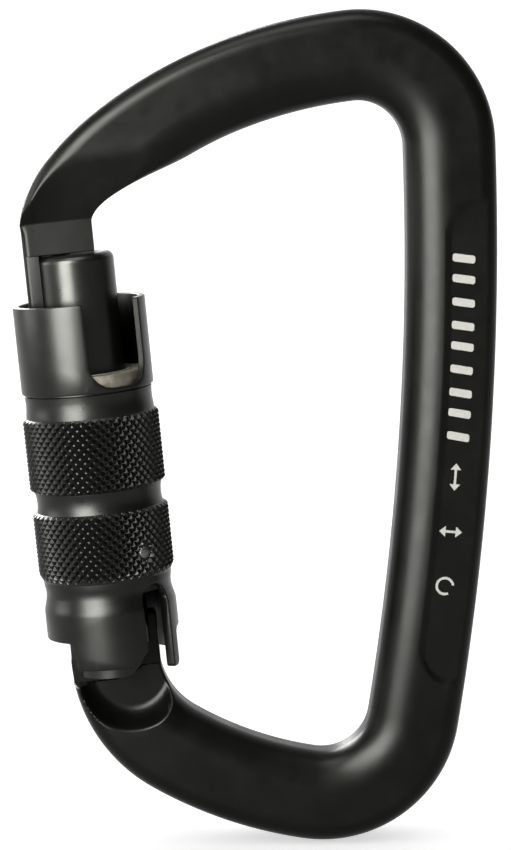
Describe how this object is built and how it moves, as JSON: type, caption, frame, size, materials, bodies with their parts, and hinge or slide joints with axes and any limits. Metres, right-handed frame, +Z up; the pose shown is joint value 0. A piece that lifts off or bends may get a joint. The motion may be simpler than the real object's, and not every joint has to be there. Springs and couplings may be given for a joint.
{
  "type": "locking carabiner",
  "caption": "D-shaped twist-lock carabiner: black bar frame, hinged round gate, sprung knurled sleeve with a side window that frees the nose.",
  "frame": {"origin": "inside of the top basket, at the middle of its inner curve and of the bar's thickness", "axes": "+X from the gate to the spine, +Y through the thickness, +Z up along the frame towards the top basket"},
  "size_m": [0.0663, 0.0188, 0.115],
  "materials": {
    "black_anodised_frame": "satin black anodised, slightly worn",
    "black_anodised_gate": "satin black anodised",
    "black_anodised_sleeve": "satin black anodised, diamond knurled grip bands",
    "steel": "turned steel",
    "spring_steel": "drawn wire",
    "bare_metal": "bare, lightly polished"
  },
  "bodies": {
    "frame": {"frame": "black_anodised_frame", "hinge_rivet": "steel"},
    "gate": {"gate_barrel": "black_anodised_gate", "gate_spring": "spring_steel", "sleeve_spring": "spring_steel"},
    "plunger": {"gate_plunger": "steel"},
    "sleeve": {"lock_sleeve": "black_anodised_sleeve", "spring_retainer": "bare_metal", "guide_pin": "steel"}
  },
  "joints": [
    {"name": "gate_swing", "type": "hinge", "parent": "frame", "child": "gate", "pos_m": [-0.0336, 0, -0.07483], "axis": [0, 1, 0], "range_deg": [0, 30], "stiffness_Nm_per_rad": 0.06, "springref_deg": -20.05},
    {"name": "sleeve_turn", "type": "hinge", "parent": "gate", "child": "sleeve", "pos_m": [-0.0336, 0, -0.07483], "axis": [0.0976, 0, -0.9952], "range_deg": [0, 120], "stiffness_Nm_per_rad": 0.012, "springref_deg": -28.65},
    {"name": "plunger_slide", "type": "slide", "parent": "gate", "child": "plunger", "axis": [-0.0976, 0, 0.9952], "range_m": [0, 0.0013], "deforming": ["gate_spring"]}
  ],
  "couplings": [
    {"joint": "plunger_slide", "follows": "gate_swing", "m_per_rad": 0.0023873}
  ]
}
